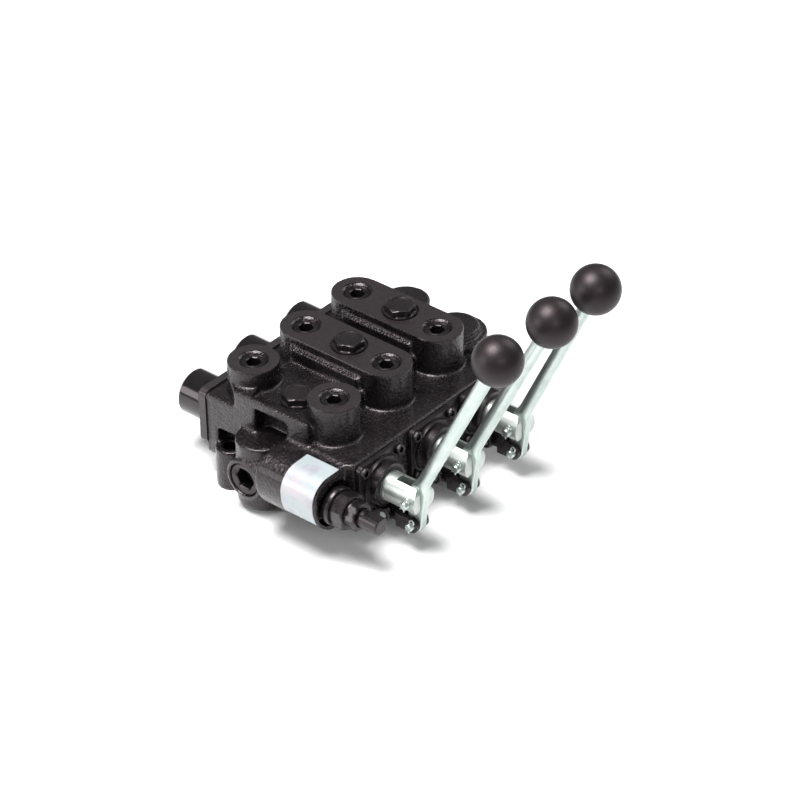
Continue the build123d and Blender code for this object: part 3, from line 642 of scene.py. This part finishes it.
def hex_head(base, top, across_flats, turn):
    """Rings of a bolt head with chamfered corners and a slightly dished washer face on top."""
    circle, dish = across_flats / 2 - 0.25, 0.5
    return [
        hex_ring(across_flats, base, turn=turn),
        chamfered_hex_ring(across_flats, top - 0.25, circle + 0.3, turn=turn),
        *round_rings((circle, top), (circle - 1.4, top)),
        *round_rings((circle - 1.9, top - dish), (1.0, top - dish - 0.1)),
    ]


def build_check_plugs():
    """Hexagon-headed plugs on their sealing collars, each tightened to its own angle."""
    turns = {1: 39, 2: 26, 3: 43}
    across_flats, head_base, head_top = 19.5, 0.5, 5.5
    shank_r = THREAD_R - 0.05
    collar = round_rings((shank_r, -10), (shank_r, -1.35), (11.6, -1.35))
    collar += round_rings((11.8, -0.9), (11.6, 0.1), (10.4, 0.3))
    bm = bmesh.new()
    for number, x in SECTIONS.items():
        head = hex_head(head_base, head_top, across_flats, radians(turns[number]))
        add_rings(bm, place((x, CHECK_Y, CHECK_TOPS[number]), (0, 0, 1), (1, 0, 0)), collar + head)
    return dress(finish_mesh("check_plug_set", bm), PARTS, "valve", ["load_check_plugs"])


def relief_axis():
    """Axis of the relief valve, pointing out to the front."""
    return place((RELIEF[0], 0, RELIEF[1]), (0, -1, 0), (1, 0, 0))


def build_relief_cartridge():
    """Cartridge with its sealing collar, then the hexagon that it is screwed in by."""
    across_flats, circle, turn = 24.0, 12.0, radians(10)
    rear, front = 1 - FRONT_Y, -corners("relief_lock_nut")[1].y
    rings = [
        *round_rings((11.2, 40), (11.2, 66), (13.6, 66.2), (14.0, 67.2), (14.0, 71.6)),
        *round_rings((13.6, 72.2), (11.6, 72.4), (11.6, rear - 0.4)),
        chamfered_hex_ring(across_flats, rear + 0.1, circle, turn, direction=-1),
        chamfered_hex_ring(across_flats, front - 1.4, circle, turn),
        *round_rings((11.5, front - 1.2), (9.4, front - 1.2), (9.2, front - 0.1), (6.5, front)),
    ]
    bm = bmesh.new()
    add_rings(bm, relief_axis(), rings)
    obj = finish_mesh("relief_cartridge_body", bm)
    return dress(obj, PARTS, "valve", ["relief_cartridge"])


def build_lock_nut():
    """Thin nut with both its faces chamfered."""
    across_flats, circle, turn = 19.0, 9.3, radians(25)
    low, high = corners("relief_lock_nut")
    rear, front = -high.y, -low.y
    rings = [
        *round_rings((6.5, rear), (9.2, rear)),
        chamfered_hex_ring(across_flats, rear + 0.4, circle, turn, direction=-1),
        chamfered_hex_ring(across_flats, front - 0.4, circle, turn),
        *round_rings((9.2, front), (7.2, front), (6.5, front - 0.6), (6.4, front - 1.4)),
    ]
    bm = bmesh.new()
    add_rings(bm, relief_axis(), rings)
    return dress(finish_mesh("lock_nut", bm), SCREWS, "valve", ["relief_lock_nut"])


def knurled_ring(radius, height, count):
    """Circle with the shallow flutes of a knurled screw head."""
    teeth, depth = 28, 0.035
    ring = []
    for angle in angles(count):
        r = radius * (1 - depth * (0.5 + 0.5 * cos(teeth * angle)))
        ring.append((r * cos(angle), r * sin(angle), height))
    return ring


def socket_screw(bm, origin, direction, head_radius, height, across_flats):
    """Socket-head cap screw with a knurled head; its seat is at the origin."""
    count, shank_r, shank, socket_depth = 112, 2.4, 4, 2.3
    rings = [
        *round_rings((shank_r, -shank), (shank_r, -0.02), (head_radius - 0.25, 0), count=count),
        knurled_ring(head_radius, 0.3, count),
        knurled_ring(head_radius, height - 0.6, count),
        *round_rings((head_radius - 0.2, height - 0.4), (head_radius - 0.55, height), count=count),
        *socket_rings(across_flats, across_flats / 2 + 0.45, height, socket_depth, count),
    ]
    add_rings(bm, place(origin, direction), rings)


def build_retainer_screws():
    head_r, head_height, across_flats = 4.0, 3.2, 4.0
    bm = bmesh.new()
    for x in SECTIONS.values():
        for dx in (-SCREW_X, SCREW_X):
            for dz in (-SCREW_Z, SCREW_Z):
                seat = (x + dx, RETAINER_Y, SPOOL_Z + dz)
                socket_screw(bm, seat, (0, -1, 0), head_r, head_height, across_flats)
    dress(finish_mesh("retainer_screw_set", bm), SCREWS, "valve", ["retainer_screws"])


def build_cap_screws():
    """Two screws a rear cap, at opposite corners of its flange."""
    head_r, head_height, across_flats = 3.3, 4.0, 3.4
    low, high = corners("cap_screws")
    offset_x = high.x - head_r - SECTIONS[3]
    bm = bmesh.new()
    for x in SECTIONS.values():
        for side, z in ((-1, high.z - head_r), (1, low.z + head_r)):
            seat = (x + side * offset_x, high.y - head_height, z)
            socket_screw(bm, seat, (0, 1, 0), head_r, head_height, across_flats)
    dress(finish_mesh("cap_screw_set", bm), SCREWS, "valve", ["cap_screws"])


# ---------------------------------------------------------------- levers, knobs, pins


def super_ring(matrix, half_x, half_y, power):
    """Rounded-rectangle section: power 2 is an ellipse, and a higher power squarer."""
    points = []
    for angle in angles(64):
        c, s = cos(angle), sin(angle)
        x = half_x * copysign(abs(c) ** (2 / power), c)
        y = half_y * copysign(abs(s) ** (2 / power), s)
        points.append(matrix @ Vector((x, y, 0)))
    return points


def knob_centre(number):
    low, high = corners(f"knob_{number}")
    return Vector(((low.x + high.x) / 2, (low.y + high.y) / 2, high.z - KNOB_R))


def ease(t):
    t = min(1.0, max(0.0, t))
    return t * t * (3 - 2 * t)


def lever_line(foot, bend, start, direction, rod_length):
    """Points up a lever: straight strip, smooth bend, then the straight rod into its knob."""
    steps = 10
    line = [foot]
    for i in range(1, steps + 1):
        t = i / steps
        line.append(foot * (1 - t) + bend * t)
    for i in range(1, steps + 1):
        t = i / steps
        along = (bend - foot).normalized() * (1 - t) + direction * t
        line.append(line[-1] + along * (start - bend).length / steps)
    shift = start - line[-1]
    for i in range(steps):
        line[-1 - i] = line[-1 - i] + shift * (1 - i / steps)
    into_knob = rod_length - 4
    for distance in (3, 6, 9, 12, 15, 18, 22, 30, 45, 60, 75, 90, 105, 120, into_knob):
        line.append(start + direction * distance)
    return line


def build_lever(number):
    """Round rod forged flat at its foot, in one smooth loft."""
    x = SECTIONS[number]
    foot, bend, start = Vector((x, PIN_Y, LINK_Z)), Vector((x, -109.5, 43.0)), Vector((x, *ROD_START))
    foot_r, bend_r, half_strip = 6.3, 6.9, 3.1
    forged_length, square, round_end = 13, 7, 9
    rod = knob_centre(number) - start
    across = Vector((1, 0, 0))
    rings = []
    down = (foot - bend).normalized()
    for k in range(round_end, 0, -1):
        depth = foot_r * sin(k / round_end * pi / 2 * 0.985)
        width = sqrt(foot_r ** 2 - depth ** 2)
        thick = half_strip - 0.12 * k / round_end
        rings.append(super_ring(place(foot + down * depth, -down, across), thick, width, square))
    line = lever_line(foot, bend, start, rod.normalized(), rod.length)
    strip_length = (bend - foot).length
    travelled = 0.0
    for i, point in enumerate(line):
        ahead, behind = line[min(i + 1, len(line) - 1)], line[max(i - 1, 0)]
        travelled += (point - behind).length
        width = foot_r + (bend_r - foot_r) * ease(travelled / strip_length)
        blend = ease((travelled - strip_length - 3) / forged_length)
        width = width * (1 - blend) + ROD_R * blend
        thick = half_strip * (1 - blend) + ROD_R * blend
        power = square * (1 - ease(blend * 1.15)) + 2 * ease(blend * 1.15)
        rings.append(super_ring(place(point, ahead - behind, across), thick, width, power))
    bm = bmesh.new()
    add_rings(bm, Matrix.Identity(4), rings)
    obj = finish_mesh(f"lever_rod_{number}", bm, 50)
    return dress(obj, ZINC, f"lever_{number}", [f"lever_{number}"])


def build_knob(number):
    """Moulded ball with a short flat collar where the rod enters."""
    centre = knob_centre(number)
    start = Vector((SECTIONS[number], *ROD_START))
    hole_r, steps = ROD_R + 0.02, 40
    profile = [(hole_r, -KNOB_R + 8), (hole_r, -14.0), (ROD_R + 0.5, -14.6), (7.8, -14.75), (8.5, -14.5)]
    for k in range(steps):
        angle = radians(-56 + 146 * k / steps)
        profile.append((KNOB_R * cos(angle), KNOB_R * sin(angle)))
    profile.append((0.35, KNOB_R))
    bm = bmesh.new()
    add_lathe(bm, place(centre, centre - start), profile)
    obj = finish_mesh(f"ball_knob_{number}", bm, 40)
    return dress(obj, KNOB, f"lever_{number}", [f"knob_{number}"])


def build_pins(number):
    """Headed pins with a chamfered end."""
    head_r, head = 4.4, 1.6
    for name in ("clevis_pin", "link_pin"):
        node = f"{name}_{number}"
        low, high = corners(node)
        left, right = low.x, high.x - head
        profile = [
            (1.6, left), (2.5, left + 0.15), (PIN_R, left + 0.8), (PIN_R, right), (head_r - 0.3, right),
            (head_r, right + 0.35), (head_r, right + 1.1), (head_r - 0.4, right + 1.5), (2.0, right + head),
        ]
        bm = bmesh.new()
        add_lathe(bm, place((0, PIN_Y, (low.z + high.z) / 2), (1, 0, 0)), profile, 48)
        dress(finish_mesh(f"{name}_turned_{number}", bm), ZINC, f"lever_{number}", [node])


def build_cotters(number):
    """A split cotter through each pin: a ring for its head and two legs, bent apart below."""
    eye, wire, leg_wire = 1.75, 0.52, 0.42
    eye_z, ring_steps = 5.4, 23
    bm = bmesh.new()
    for name, z in (("clevis_pin", SPOOL_Z), ("link_pin", LINK_Z)):
        cotter_x = corners(f"{name}_{number}")[0].x + 1.6
        lean = Matrix.Translation((cotter_x, PIN_Y, z)) @ Matrix.Rotation(radians(24), 4, "X")
        for side in (-1, 1):
            leg = [(0.5, 3.9), (0.42, 2.6), (0.42, -2.9), (0.9, -3.7), (1.9, -4.7)]
            add_tube(bm, [lean @ Vector((0, side * y, height)) for y, height in leg], leg_wire, 10)
        ring = []
        for k in range(ring_steps + 1):
            angle = radians(24 + 312 * k / ring_steps)
            ring.append(lean @ Vector((0, eye * sin(angle), eye_z - eye * cos(angle))))
        add_tube(bm, ring, wire)
    obj = finish_mesh(f"split_cotters_{number}", bm)
    return dress(obj, ZINC, f"lever_{number}", [f"pin_cotters_{number}"])


def build_spring(node, body, fixed):
    """Coil spring copied from its CAD node and smooth shaded; the fixed end is not used."""
    fixed = Vector(fixed)
    obj = mesh_from_node(f"{node}_coil", node)
    for polygon in obj.data.polygons:
        polygon.use_smooth = True
    obj.data.set_sharp_from_angle(angle=radians(40))
    dress(obj, SPRING, body, [node])
    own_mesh(obj)


def build_springs():
    for number, x in SECTIONS.items():
        low, high = corners(f"load_check_spring_{number}")
        build_spring(f"load_check_spring_{number}", "valve",
                     (x, CHECK_Y, high.z))
    low, high = corners("relief_spring")
    build_spring("relief_spring", "relief_follower",
                 (RELIEF[0], low.y, RELIEF[1]))


build_port_plugs()
build_side_plugs()
build_check_plugs()
build_relief_cartridge()
build_lock_nut()
build_retainer_screws()
build_cap_screws()
for section in SECTIONS:
    build_lever(section)
    build_knob(section)
    build_pins(section)
    build_cotters(section)
build_springs()

# Radii that the CAD nodes left showing are rounded to, in millimetres
ROUNDED = {"relief_adjusting_screw": 0.5, "anchor_pins": 0.4, "data_plate": 0.12}
for section in SECTIONS:
    ROUNDED[f"seal_retainer_{section}"] = 0.7
    ROUNDED[f"rear_cap_{section}"] = 0.4
    ROUNDED[f"fork_link_{section}"] = 0.8
    ROUNDED[f"spool_{section}"] = 0.35
for node, width in ROUNDED.items():
    bevel(nodes[node], width)


# ---------------------------------------------------------------- camera, light and floor

AZIMUTH, ELEVATION, ROLL = radians(-49.19), radians(34.82), radians(-1.203)
DISTANCE = 2718.96                              # from the middle of the work ports' tops, in millimetres
OFFSET_RIGHT, OFFSET_UP = 36.995, -38.885       # how far the camera stands to the side of that middle
SENSOR, FOCAL_LENGTH = 36.0, 179.415


def build_camera():
    back = Vector((sin(AZIMUTH) * cos(ELEVATION), -cos(AZIMUTH) * cos(ELEVATION), sin(ELEVATION)))
    level_right = Vector((cos(AZIMUTH), sin(AZIMUTH), 0))
    level_up = back.cross(level_right)
    right = level_right * cos(ROLL) + level_up * sin(ROLL)
    up = level_up * cos(ROLL) - level_right * sin(ROLL)
    data = bpy.data.cameras.new("camera")
    data.sensor_width = SENSOR
    data.lens = FOCAL_LENGTH
    data.clip_end = 50
    camera = add_object("camera", data)
    camera.matrix_world = Matrix((right, up, back)).transposed().to_4x4()
    ports_middle = Vector((0, 0, PAD_Z))
    camera.location = (ports_middle + back * DISTANCE + right * OFFSET_RIGHT + up * OFFSET_UP) * MM
    bpy.context.scene.camera = camera


def area_light(name, location, target, size, power):
    data = bpy.data.lights.new(name, "AREA")
    data.shape = "RECTANGLE"
    data.size, data.size_y = size
    data.energy = power
    obj = add_object(name, data)
    obj.location = location
    obj.rotation_euler = (Vector(target) - Vector(location)).to_track_quat("-Z", "Y").to_euler()


def build_studio():
    """Soft boxes, an even white surround and a pale floor just under the valve, in metres."""
    valve_middle = (0, 0, 0.05)
    area_light("overhead", (-0.30, 0.12, 1.25), valve_middle, (0.6, 0.6), 27)
    area_light("left_card", (-1.35, 0.75, 0.55), valve_middle, (0.9, 0.7), 9)
    area_light("right_fill", (1.3, -0.2, 1.1), (0, 0, 0), (0.8, 0.8), 7)
    area_light("front_fill", (-0.75, -1.3, 1.0), valve_middle, (0.5, 0.4), 4)
    world = bpy.data.worlds.new("studio")
    world.use_nodes = True
    world.node_tree.nodes["Background"].inputs["Color"].default_value = (1, 1, 1, 1)
    world.node_tree.nodes["Background"].inputs["Strength"].default_value = 0.22
    bpy.context.scene.world = world
    bpy.context.scene.view_settings.view_transform = "Standard"
    half_floor = 6000
    bm = bmesh.new()
    bmesh.ops.create_grid(bm, x_segments=1, y_segments=1, size=half_floor)
    floor = finish_mesh("floor", bm)
    floor.location.z = -0.0002
    pale = Nodes("pale_floor")
    colour = pale.mix(pale.noise(3, 2), (0.86, 0.86, 0.86), (0.9, 0.9, 0.9))
    pale.link(colour, pale.shader.inputs["Base Color"])
    pale.set(Roughness=0.9)
    floor.data.materials.append(pale.material)


build_camera()
build_studio()
